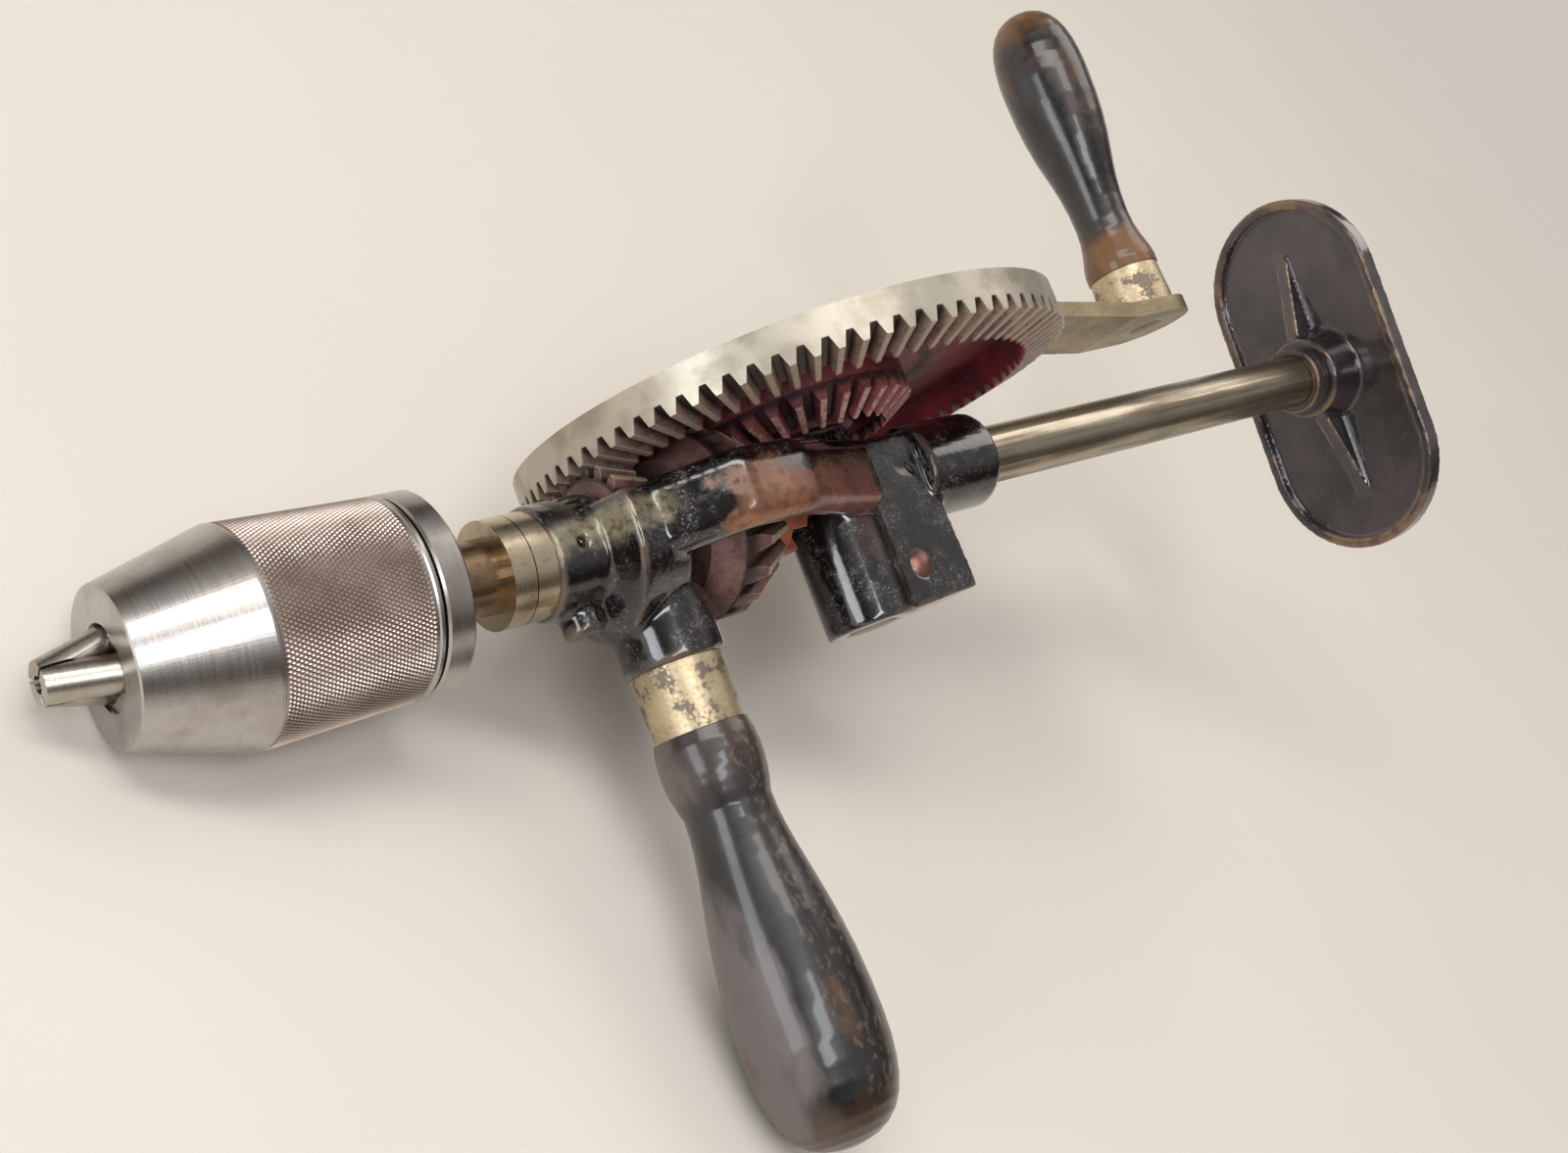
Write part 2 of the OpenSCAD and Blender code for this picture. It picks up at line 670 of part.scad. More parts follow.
module clutch_collar() {
    color(maroon) difference() {
        union() {
            turned_x([[0, clutch_front_x], [collar_neck_r, clutch_front_x], [collar_neck_r, clutch_back_x - 3],
                [dog_out_r, clutch_back_x - 1], [dog_out_r, clutch_back_x], [0, clutch_back_x]]);
            dog_teeth(clutch_back_x - sunk, clutch_back_x + dog_l);
        }
        rod_x(-2 * far, 0, spindle_r + run_fit);
        translate([-far, spindle_r - key_sink, -key_w / 2 - run_fit])
            cube([far, 2 * key_sink + pass_gap, key_w + 2 * run_fit]);
    }
}

// Radius of the cone that the jaws' outer sides lie on
function jaw_cone_r(x) = jaw_tip_r + (x - jaw_tip_x) * jaw_rise;

// Sloping round bar on one jaw's axis, between two places along the spindle
module jaw_bar(x0, x1, r) {
    translate([x0, jaw_cone_r(x0) - jaw_r / cos(jaw_slope), 0]) rotate([0, 0, jaw_slope]) rotate([0, 90, 0])
        cylinder(h = (x1 - x0) / cos(jaw_slope), r = r);
}

module jaw(turn) {
    reach = 2 * far;
    edge = jaw_gap / 2 / sin(60);
    color(steel) rotate([turn, 0, 0]) difference() {
        intersection() {
            jaw_bar(jaw_tip_x - 4, jaw_end_x + 4, jaw_r);
            translate([jaw_tip_x, 0, 0]) rotate([0, 90, 0]) linear_extrude(jaw_l)
                polygon([[0, edge], reach * [sin(60), cos(60)] + [0, edge], reach * [-sin(60), cos(60)] + [0, edge]]);
        }
        rod_x(jaw_tip_x - 1, jaw_end_x + 1, grip_r);
        rod_x(jaw_tip_x + jaw_grip_l, jaw_end_x + 1, grip_r + jaw_relief);
    }
}

module jaw_1() jaw(0);
module jaw_2() jaw(jaw_step);
module jaw_3() jaw(2 * jaw_step);

module chuck_body() {
    color(steel) difference() {
        turned_x([[0, body_front_x], [cone_in_r + (body_front_x - nose_x) * cone_rise - run_fit, body_front_x],
            [body_r - run_fit, bore_x], [body_r - run_fit, sleeve_back_x + sleeve_run],
            [shank_r, sleeve_back_x + sleeve_run], [shank_r, chuck_back_x], [0, chuck_back_x]]);
        rod_x(spindle_nose_x, chuck_back_x + eps, thread_r);
        rod_x(body_front_x - eps, jaw_end_x + 20, jaw_tip_r);
        for (turn = [0:jaw_step:359]) rotate([turn, 0, 0]) jaw_bar(jaw_tip_x, jaw_end_x + 20, jaw_r + run_fit);
        turned_x([[jaw_cone_r(nut_front_x) - nut_bite, nut_front_x - nut_gap], [far, nut_front_x - nut_gap],
            [far, nut_back_x + nut_gap], [jaw_cone_r(nut_back_x) - nut_bite, nut_back_x + nut_gap]]);
    }
}

module chuck_collar() {
    color(steel) difference() {
        turned_x([[0, sleeve_back_x + sleeve_run], [sleeve_back_r - 0.5, sleeve_back_x + sleeve_run],
            [sleeve_back_r, sleeve_back_x + sleeve_run + 0.6], [sleeve_back_r, chuck_back_x - 0.8],
            [sleeve_back_r - 0.8, chuck_back_x], [0, chuck_back_x]]);
        rod_x(sleeve_back_x, chuck_back_x + eps, shank_r);
    }
}

module chuck_sleeve() {
    color(steel) difference() {
        turned_x([[0, nose_x], [nose_r - 0.5, nose_x], [nose_r, nose_x + 0.4], [corner_r, corner_x],
            [sleeve_back_r, sleeve_back_x - 0.5], [sleeve_back_r - 0.5, sleeve_back_x], [0, sleeve_back_x]]);
        turned_x([[0, nose_x + lip_t], [cone_in_r + lip_t * cone_rise, nose_x + lip_t], [body_r, bore_x],
            [body_r, sleeve_back_x + eps], [0, sleeve_back_x + eps]]);
        rod_x(nose_x - eps, nose_x + lip_t + eps, lip_r);
    }
}

// Ring inside the sleeve whose thread drives the jaws
module chuck_nut() {
    color(steel) turned_x([[jaw_cone_r(nut_front_x) + nut_gap, nut_front_x],
        [cone_in_r + (nut_front_x - nose_x) * cone_rise, nut_front_x],
        [cone_in_r + (nut_back_x - nose_x) * cone_rise, nut_back_x],
        [jaw_cone_r(nut_back_x) + nut_gap, nut_back_x]]);
}

module side_handle_stud() {
    color(steel) translate([handle_x, 0, 0])
        rod_y(handle_stud_end_y, handle_stud_top_y, handle_stud_r);
}

module side_handle_ferrule() {
    color(brass) translate([handle_x, handle_boss_end_y, 0]) rotate([180, 0, 0])
        ferrule(handle_ferrule_l, handle_ferrule_r, 0.4);
}

// Outline of the side grip, from its root to its tip, as [radius, height]
function side_grip_outline() = let (root = handle_ferrule_r - 0.4, l = handle_ferrule_l,
    e = handle_ferrule_l + handle_grip_l, r = handle_grip_r, waist = root - 0.6)
    concat([[0, 0], [root - ferrule_wall, 0], [root - ferrule_wall, l], [root + 0.6, l]],
        curve([root + 0.6, l], [root + 2.6, l + 7], [root + 1.6, l + 14], [waist + 0.4, l + 20], 6),
        curve([waist + 0.4, l + 20], [waist, l + 34], [r, l + 50], [r, e - 28], 10),
        curve([r, e - 28], [r, e - 9], [r * 0.72, e], [0, e], 9));

module side_handle_grip() {
    color(black_wood) difference() {
        translate([handle_x, handle_boss_end_y, 0]) rotate([180, 0, 0]) turned_y(side_grip_outline());
        translate([handle_x, 0, 0])
            rod_y(handle_stud_end_y, handle_boss_end_y + eps, handle_stud_r);
    }
}

module breast_tube() {
    color(nickel) difference() {
        rod_x(tube_in_x, plate_back_x - plate_t, tube_r);
        rod_x(tube_in_x - eps, plate_back_x, tube_r - tube_wall);
    }
}

module plate_collar() {
    color(japan) difference() {
        rod_x(plate_boss_x - plate_collar_w, plate_boss_x, plate_collar_r);
        rod_x(plate_boss_x - plate_collar_w - eps, plate_boss_x + eps, tube_r);
    }
}

// Long plate outline with round ends, its length along the second axis
module obround(l, w) {
    for (s = [-1, 1]) translate([0, s * (l - w) / 2]) circle(d = w);
    square([w, l - w], center = true);
}

module breast_plate() {
    color(japan) rotate([plate_roll, 0, 0]) difference() {
        union() {
            translate([plate_x, 0, 0]) rotate([0, 90, 0]) difference() {
                linear_extrude(plate_lip_h) obround(plate_l, plate_w);
                translate([0, 0, -eps]) linear_extrude(plate_lip_h - plate_t + eps)
                    obround(plate_l - 2 * plate_t, plate_w - 2 * plate_t);
            }
            turned_x([[0, plate_boss_x], [plate_boss_r, plate_boss_x], [plate_boss_r + 2, plate_back_x - plate_t],
                [plate_boss_r + 2, plate_back_x - eps], [0, plate_back_x - eps]]);
            translate([0, 0, -rib_t / 2]) linear_extrude(rib_t) for (s = [-1, 1])
                polygon([[plate_back_x - plate_t + eps, 0], [plate_boss_x + 2, 0],
                    [plate_boss_x + 2, s * plate_boss_r], [plate_back_x - plate_t + eps, s * plate_l * 0.36]]);
        }
        rod_x(plate_boss_x - eps, plate_back_x - plate_t, tube_r);
    }
}

placed() frame_casting();
placed() front_bush();
placed() rear_bush();
placed() thrust_race();
placed() thrust_balls();
placed() thrust_cup();
placed() gear_stud();
placed() stud_washer();
placed() stud_nut();
placed() lug_pin();
placed() gear_wheel();
placed() crank_arm();
placed() crank_rivets();
placed() crank_stud();
placed() crank_ferrule();
placed() crank_grip();
placed() spindle();
placed() high_pinion();
placed() low_pinion();
placed() clutch_collar();
placed() clutch_key();
placed() chuck_body();
placed() chuck_collar();
placed() chuck_sleeve();
placed() chuck_nut();
placed() jaw_1();
placed() jaw_2();
placed() jaw_3();
placed() side_handle_stud();
placed() side_handle_ferrule();
placed() side_handle_grip();
placed() breast_tube();
placed() plate_collar();
placed() breast_plate();
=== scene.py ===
"""Looks of the breast drill: knurled chuck, japanned frame, red gear wheel, black wooden grips."""
import json
import math

import bmesh
import bpy
import numpy as np
from mathutils import Euler, Matrix, Vector


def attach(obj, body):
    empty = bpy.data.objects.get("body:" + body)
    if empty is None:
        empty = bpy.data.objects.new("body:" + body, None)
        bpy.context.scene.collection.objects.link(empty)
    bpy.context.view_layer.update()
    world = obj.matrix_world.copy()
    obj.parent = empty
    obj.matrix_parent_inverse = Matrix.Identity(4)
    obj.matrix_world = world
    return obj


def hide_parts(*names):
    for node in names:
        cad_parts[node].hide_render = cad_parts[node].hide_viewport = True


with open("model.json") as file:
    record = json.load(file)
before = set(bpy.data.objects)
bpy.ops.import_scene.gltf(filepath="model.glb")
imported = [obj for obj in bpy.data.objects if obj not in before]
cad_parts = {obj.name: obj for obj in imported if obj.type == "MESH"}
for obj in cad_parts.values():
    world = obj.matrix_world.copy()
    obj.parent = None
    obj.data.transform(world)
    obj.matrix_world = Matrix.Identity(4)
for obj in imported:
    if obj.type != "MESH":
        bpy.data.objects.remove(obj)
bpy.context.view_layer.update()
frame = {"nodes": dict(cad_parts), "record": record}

MM = 0.001

# Shared by the finishes: the attribute of edge wear, the gloss of a coat, samples for edges and hollows
EDGE_NAME = "edge_wear"
COAT_ROUGHNESS = 0.08
SHADER_SAMPLES = 6

# The tool's own axes, read from the joints: X along the spindle, Y along the gear wheel's stud
joints = {joint["name"]: joint for joint in frame["record"]["behaviour"]["joints"]}
spindle_axis = Vector(joints["spindle_turn"]["axis"])
stud_axis = Vector(joints["crank_turn"]["axis"])
side_axis = spindle_axis.cross(stud_axis)
tool_turn = Matrix((spindle_axis, stud_axis, side_axis)).transposed()
tool = Matrix.Translation(Vector(joints["crank_turn"]["pos_m"])) @ tool_turn.to_4x4()


def in_tool(mesh):
    """Vertices of a mesh in the tool's own axes, in metres."""
    points = np.empty(len(mesh.vertices) * 3)
    mesh.vertices.foreach_get("co", points)
    inverse = np.array(tool.inverted())
    return points.reshape(-1, 3) @ inverse[:3, :3].T + inverse[:3, 3]


def tool_points(node):
    """Vertices of a CAD node in the tool's own axes."""
    return in_tool(frame["nodes"][node].data)


# Camera, in the tool's axes: fitted to the photograph's viewing angle
CAMERA_PLACE = Vector((-350.2, -83.9, 413.1)) * MM
CAMERA_TURN = Euler((0.3787, -0.5792, -0.4331), "XYZ")
FOCAL_PX = 2040.0
IMAGE_W = 1600
SENSOR_W = 36.0


class Wire:
    """A node's socket that takes part in Python arithmetic."""

    def __init__(self, nodes, socket):
        self.nodes, self.socket = nodes, socket

    def maths(self, operation, a, b=0.0):
        return self.nodes.node("Math", {"operation": operation}, {0: a, 1: b})

    def __add__(self, other):
        return self.maths("ADD", self, other)

    def __sub__(self, other):
        return self.maths("SUBTRACT", self, other)

    def __rsub__(self, other):
        return self.maths("SUBTRACT", other, self)

    def __mul__(self, other):
        return self.maths("MULTIPLY", self, other)

    def __truediv__(self, other):
        return self.maths("DIVIDE", self, other)

    __radd__ = __add__
    __rmul__ = __mul__

    def most(self, other):
        """The larger of two values."""
        return self.maths("MAXIMUM", self, other)

    def size(self):
        """The value without its sign."""
        return self.maths("ABSOLUTE", self)


class Nodes:
    """A node tree under construction."""

    def __init__(self, tree):
        self.tree = tree

    def node(self, kind, settings=None, values=None, out=0):
        """Adds a node, sets it up, fills or links its inputs, and gives one of its outputs."""
        made = self.tree.nodes.new(kind if "Node" in kind else "ShaderNode" + kind)
        for key, value in (settings or {}).items():
            setattr(made, key, value)
        for key, value in (values or {}).items():
            if isinstance(value, Wire):
                self.tree.links.new(value.socket, made.inputs[key])
            else:
                made.inputs[key].default_value = value
        return Wire(self, made.outputs[out])

    def step(self, value, low, high):
        """0 below low, 1 above high, smooth between."""
        return self.node("MapRange", {"interpolation_type": "SMOOTHSTEP"}, {
            "Value": value, "From Min": low, "From Max": high})

    def mix(self, mask, under, over):
        """One colour over another where the mask is 1."""
        return self.node("Mix", {"data_type": "RGBA"}, {0: mask, 6: under, 7: over}, 2)


class Finish(Nodes):
    """A material under construction. Patterns are laid out in the tool's axes, in metres."""

    def __init__(self, name):
        self.material = bpy.data.materials.new(name)
        self.material.use_nodes = True
        super().__init__(self.material.node_tree)
        self.shader = self.tree.nodes["Principled BSDF"]
        coordinates = self.node("TexCoord", out="Object")
        self.place = self.node("Mapping", {"vector_type": "TEXTURE"}, {
            "Vector": coordinates, "Location": tool.to_translation(), "Rotation": tool.to_euler("XYZ")})
        self.x, self.y, self.z = (self.node("SeparateXYZ", None, {0: self.place}, out) for out in range(3))

    def noise(self, size_mm, detail=4.0, stretch=(1, 1, 1), shift=(0, 0, 0)):
        """Noise with patches of about size_mm, stretched along the tool's axes."""
        at = self.node("VectorMath", {"operation": "MULTIPLY_ADD"}, {0: self.place, 1: stretch, 2: shift})
        values = {"Vector": at, "Scale": 1 / (size_mm * MM), "Detail": detail}
        return self.node("TexNoise", None, values, "Fac")

    def around(self, a, b):
        """Distance from the axis that the other two axes' values a and b are measured from."""
        return self.node("Math", {"operation": "SQRT"}, {0: a * a + b * b})

    def edges(self, radius_mm):
        """Worn edges: where the rounded normal leaves the flat one."""
        soft = self.node("Bevel", {"samples": SHADER_SAMPLES}, {"Radius": radius_mm * MM})
        flat = self.node("NewGeometry", None, None, "Normal")
        return 1 - self.node("VectorMath", {"operation": "DOT_PRODUCT"}, {0: soft, 1: flat}, "Value")

    def hollow_shade(self, reach_mm):
        """Painted shade that gathers in hollows, from 0 in the open to 1 deep inside."""
        settings = {"samples": SHADER_SAMPLES, "only_local": True}
        return 1 - self.node("AmbientOcclusion", settings, {"Distance": reach_mm * MM}, "AO")

    def worn(self):
        """Edge wear kept on the piece itself, from 0 in hollows to 1 on ridges."""
        return self.node("Attribute", {"attribute_name": EDGE_NAME}, None, "Fac")

    def teeth(self, slope, crest, root):
        """Crests of bevel teeth, and gaps for painted shade, from a slope to the axis that is constant along
        a tooth.
        """
        depth = (slope - crest) / (root - crest)
        crests = 1 - self.step(depth, 0.03, 0.16)
        gaps = self.step(depth, 0.4, 0.9) * (1 - self.step(depth, 1.05, 1.2))
        return crests, gaps

    def bump(self, height, depth_mm, strength):
        """Fine relief of the surface, depth_mm deep."""
        values = {"Strength": strength, "Distance": depth_mm * MM, "Height": height}
        return self.node("Bump", None, values, "Normal")

    def done(self, colour, roughness, metallic=0.0, normal=None, coat=0.0, alpha=1.0):
        """The finished material, with each value on the shader's own socket."""
        sockets = {"Base Color": colour, "Roughness": roughness, "Metallic": metallic, "Alpha": alpha,
                   "Coat Weight": coat, "Coat Roughness": COAT_ROUGHNESS}
        if normal is not None:
            sockets["Normal"] = normal
        for key, value in sockets.items():
            if isinstance(value, Wire):
                self.tree.links.new(value.socket, self.shader.inputs[key])
            else:
                self.shader.inputs[key].default_value = value
        return self.material


def rgb(red, green, blue):
    """Colour from 0 to 255 as seen on screen, turned to linear light."""
    parts = [c / 255 for c in (red, green, blue)]
    return (*(p / 12.92 if p < 0.0404 else ((p + 0.055) / 1.055) ** 2.4 for p in parts), 1)


def turned_steel(name, light, stain, stained=0.5, rough=0.3):
    """Steel turned about the spindle axis, with lathe lines and soft stains."""
    f = Finish(name)
    lines = f.noise(0.5, 3, (1, 0.03, 0.03))
    patches = f.noise(9, 6)
    spots = f.step(f.noise(1.6, 5, shift=(3, 1, 2)), 0.6, 0.72)
    dirt = f.step(patches, 0.42, 0.75) * stained
    colour = f.mix(spots * stained * 0.6, f.mix(dirt, light, stain), stain)
    return f.done(colour, lines * 0.14 + patches * 0.16 + (rough - 0.15), 1.0, f.bump(lines, 0.02, 0.25))


def plain_steel(name, light, stain, stained=0.5, rough=0.38):
    """Flat or forged steel with grime, pale on its edges."""
    f = Finish(name)
    patches = f.noise(12, 7)
    fine = f.noise(0.9, 4, shift=(1, 4, 2))
    dirt = f.step(patches * 0.7 + fine * 0.3, 0.38, 0.62) * stained
    bright = f.step(f.edges(0.8), 0.01, 0.12)
    colour = f.mix(bright * 0.7, f.mix(dirt, light, stain), light)
    return f.done(colour, fine * 0.25 + patches * 0.15 + (rough - 0.18), 0.85, f.bump(fine, 0.05, 0.5))


class Japan(Finish):
    """Black japan on iron: glossy, flecked with pale dust, rubbed through on ridges."""

    def __init__(self, name, flecked):
        super().__init__(name)
        self.patches = self.noise(16, 6)
        self.ragged = (self.noise(7, 9, shift=(1, 5, 2)) - 0.5) * 2
        cloud = self.noise(6, 7, shift=(7, 1, 3))
        self.dust = self.step(cloud, 0.42, 0.68)
        specks = self.step(self.noise(0.7, 5, shift=(2, 2, 5)), 0.55, 0.66)
        self.fleck = specks * (self.dust * 0.6 + 0.06) * flecked
        smudge = self.step(self.noise(2.2, 8, shift=(6, 3, 1)), 0.48, 0.68) * self.dust * flecked
        black = self.mix(self.dust, rgb(5, 4, 5), rgb(20, 17, 18))
        smudged = self.mix(smudge * 0.7, black, rgb(84, 76, 80))
        self.colour = self.mix(self.fleck, smudged, rgb(132, 124, 124))
        self.bare = self.step(self.worn() + (self.patches - 0.5) * 1.5, 0.85, 1.15)

    def near(self, value, reach, raggedness):
        """1 where a value is within reach of 0, with a ragged soft edge; reach and raggedness in mm."""
        size = value.size() + self.ragged * raggedness * MM
        return 1 - self.step(size, (reach - 2) * MM, (reach + 2) * MM)

    def rub(self, mask, colour):
        """Bare metal of a colour where the mask is 1."""
        self.colour = self.mix(mask, self.colour, colour)

    def coated(self, bare):
        """The finished material; bare places are duller and metallic."""
        rough = self.fleck * 0.25 + bare * 0.12 + self.patches * 0.12 + self.dust * 0.08 + 0.1
        skin = self.noise(1.6, 4) - self.fleck * 0.3
        return self.done(self.colour, rough, bare * 0.3, self.bump(skin, 0.12, 0.5), 1.0 - bare * 0.6)


def frame_japan(name):
    """Japan of the frame, rubbed brown on the yoke bars' outer side, olive along the neck, pale at the bars'
    bend with grey wear and a painted highlight.
    """
    f = Japan(name, 1.0)
    spots = f.step(f.noise(2.4, 8, shift=(3, 8, 1)), 0.36, 0.52)
    outer = f.step(f.z.size(), 11 * MM, 17 * MM)
    over_bar = f.y + f.step(f.x, -42 * MM, -30 * MM) * 2.5 * MM + 7.5 * MM
    bar = outer * f.near(f.x + 26 * MM, 30, 10) * f.near(over_bar, 11.5, 6)
    brown = f.mix(f.step(f.x + f.ragged * 20 * MM, -48 * MM, -4 * MM), rgb(152, 104, 70), rgb(132, 80, 72))
    brown = f.mix(f.step(f.patches, 0.42, 0.7) * 0.8, brown, rgb(92, 58, 48))
    # Pale patch at the bars' bend: grey wear and a painted highlight
    pale = f.near(f.around(f.x + 55 * MM, f.y - 2 * MM), 4, 9) * outer * spots
    neck = (1 - f.step(f.x + f.ragged * 5 * MM, -70 * MM, -64 * MM)) * f.step(f.z, 8 * MM, 14 * MM)
    neck = neck * f.near(f.y - 2 * MM, 4, 5) * (spots * 0.6 + 0.4)
    f.rub(f.bare * 0.6, f.mix(f.dust, rgb(126, 108, 94), rgb(96, 72, 62)))
    f.rub(bar * (spots * 0.35 + 0.6), brown)
    f.rub(pale * 0.3, rgb(150, 145, 142))
    f.rub(neck * 0.75, rgb(150, 140, 114))
    return f.coated((f.bare * 0.7).most(bar).most(neck))


def plate_japan(name):
    """Japan of the breast plate, gone brown and purple, golden on its rim."""
    f = Japan(name, 0.3)
    f.rub(f.step(f.patches, 0.35, 0.7) * 0.6 + 0.25, rgb(66, 55, 60))
    back = float(tool_points("breast_plate")[:, 0].max())
    outside = f.step(f.x, back - 1.5 * MM, back - 0.5 * MM) * f.step(f.patches, 0.36, 0.62)
    f.rub(outside * 0.45, f.mix(f.dust, rgb(104, 88, 74), rgb(72, 52, 42)))
    f.rub(f.bare * 0.75, f.mix(f.dust, rgb(134, 108, 76), rgb(98, 62, 46)))
    return f.coated(f.bare * 0.6)


# Where the gear wheel's outer teeth begin and its inner ring ends, as shares of the rim's radius
OUTER_TEETH_FROM = 0.838
INNER_TEETH_TO = 0.6
# How near a point lies to a ring's outer radius to count as the end of a tooth
TOOTH_END = 0.01 * MM


def gear_paint(name):
    """Red paint on the web and inner ring, bare steel on rim and outer teeth, with painted shade and
    highlights.
    """
    f = Finish(name)
    reach = tool_points("gear_wheel")
    radii = np.hypot(reach[:, 0], reach[:, 2])
    slopes = (reach[:, 1] / radii).round(3)
    rim = float(radii.max())
    inner_rim = float(radii[radii < rim / 2].max())
    out = f.around(f.x, f.z) / rim
    patches = f.noise(10, 6)
    fine = f.noise(1.2, 4, shift=(4, 1, 1))
    teeth = f.step(out, OUTER_TEETH_FROM, OUTER_TEETH_FROM + 0.008)
    band = f.step(out, 0.992, 0.998)
    back = float(reach[radii > 0.9 * rim, 1].max())
    face = 1 - f.step(f.y, back - 2 * MM, back - 1 * MM)
    inner = (1 - f.step(out, INNER_TEETH_TO, INNER_TEETH_TO + 0.01)) * face
    slope = f.y / f.around(f.x, f.z)
    rings = []
    for end in (rim, inner_rim):
        crest, root = np.unique(slopes[abs(radii - end) < TOOTH_END])[:2]
        rings.append(f.teeth(slope, float(crest), float(root)))
    (outer_crest, outer_gap), (inner_crest, inner_gap) = rings
    # Patches where the tooth crests are pale: rubbed, and lit with a painted highlight
    worn = f.step(fine * 0.6 + patches * 0.4, 0.36, 0.56)
    paint = f.mix(f.step(patches, 0.35, 0.7), rgb(142, 52, 60), rgb(92, 32, 44))
    dust_and_sheen = f.mix(f.step(patches * 0.6 + fine * 0.4, 0.4, 0.62), rgb(142, 76, 76), rgb(94, 44, 50))
    chipped = f.step(fine * 0.5 + patches * 0.5, 0.57, 0.65)
    web = f.mix(chipped * 0.45, f.mix(inner, paint, dust_and_sheen), rgb(128, 96, 86))
    # Pale crests of the inner ring: rubbed paint and a painted highlight
    web = f.mix(inner_crest * inner * worn * 0.75, web, rgb(206, 168, 156))
    # Painted shade in the gaps of the inner ring's teeth
    web = f.mix(inner_gap * inner * 0.85, web, rgb(26, 11, 14))
    steel = f.mix(f.step(patches * 0.6 + fine * 0.4, 0.38, 0.62), rgb(152, 130, 116), rgb(106, 84, 76))
    rim_steel = f.mix(f.step(patches, 0.4, 0.7) * 0.6, rgb(182, 174, 160), rgb(128, 116, 100))
    # Pale crests of the outer teeth: rubbed steel and a painted highlight
    steel = f.mix(outer_crest * worn * 0.6, steel, rgb(182, 168, 152))
    # Painted shade in the gaps of the outer teeth
    steel = f.mix(outer_gap * 0.8, steel, rgb(34, 22, 22))
    colour = f.mix(band, f.mix(teeth, web, steel), rim_steel)
    # Painted shade deep in the dish between the inner ring and the outer teeth
    colour = f.mix(f.step(f.hollow_shade(14), 0.45, 0.85) * (1 - teeth), colour, rgb(24, 12, 16))
    metal = teeth * 0.35 + band * 0.5
    return f.done(colour, fine * 0.2 + 0.4 - band * 0.1, metal, f.bump(fine, 0.06, 0.6), 0.08)


# Slope of a pinion's tooth roots, as a share of its crests'
ROOT_SHARE = 0.82


def worn_iron(name, light, dark, crest_colour, pinion=None):
    """Old painted iron of pinions and clutch, crests rubbed bright with a painted highlight, gaps with
    painted shade.
    """
    f = Finish(name)
    patches = f.noise(6, 6)
    fine = f.noise(0.9, 4, shift=(1, 3, 5))
    crest = f.step(f.edges(0.5), 0.04, 0.2)
    # Painted shade in hollows; on the pinions, in the tooth gaps instead
    gap = f.step(f.hollow_shade(4), 0.3, 0.75)
    if pinion:
        points = tool_points(pinion)
        tip = float((np.hypot(points[:, 1], points[:, 2]) / -points[:, 0]).max())
        top, gap = f.teeth(f.around(f.y, f.z) / (f.x * -1), tip, tip * ROOT_SHARE)
        # Pale tooth crests: rubbed paint and a painted highlight
        crest = (top * (f.step(fine, 0.4, 0.6) * 0.6 + 0.4)).most(crest)
    body = f.mix(f.step(patches * 0.7 + fine * 0.3, 0.38, 0.64), light, dark)
    colour = f.mix(gap * 0.85, f.mix(crest * 0.85, body, crest_colour), rgb(26, 18, 17))
    return f.done(colour, fine * 0.25 + 0.34, crest * 0.5 + 0.15, f.bump(fine, 0.06, 0.6))


def ferrule_brass(name):
    """Dull brass, worn to grey in patches."""
    f = Finish(name)
    patches = f.noise(7, 7, shift=(5, 2, 1))
    fine = f.noise(1.0, 4)
    grey = f.step(patches * 0.75 + fine * 0.25, 0.53, 0.6)
    brass = f.mix(f.step(fine * 0.4 + patches * 0.6, 0.35, 0.65), rgb(206, 190, 160), rgb(172, 152, 120))
    colour = f.mix(grey * 0.8, brass, rgb(112, 106, 98))
    return f.done(colour, grey * 0.15 + fine * 0.2 + 0.34, 0.9, f.bump(grey * 0.6 + fine * 0.4, 0.06, 0.5))


# Wooden grips: largest bore for a stud, radius, trim of the length, sides and steps of the turned shape
GRIP_BORE = 5.5 * MM
GRIP_RADIUS = 16 * MM
GRIP_TRIM = 0.9995
GRIP_SIDES = 96
GRIP_STEPS = 4


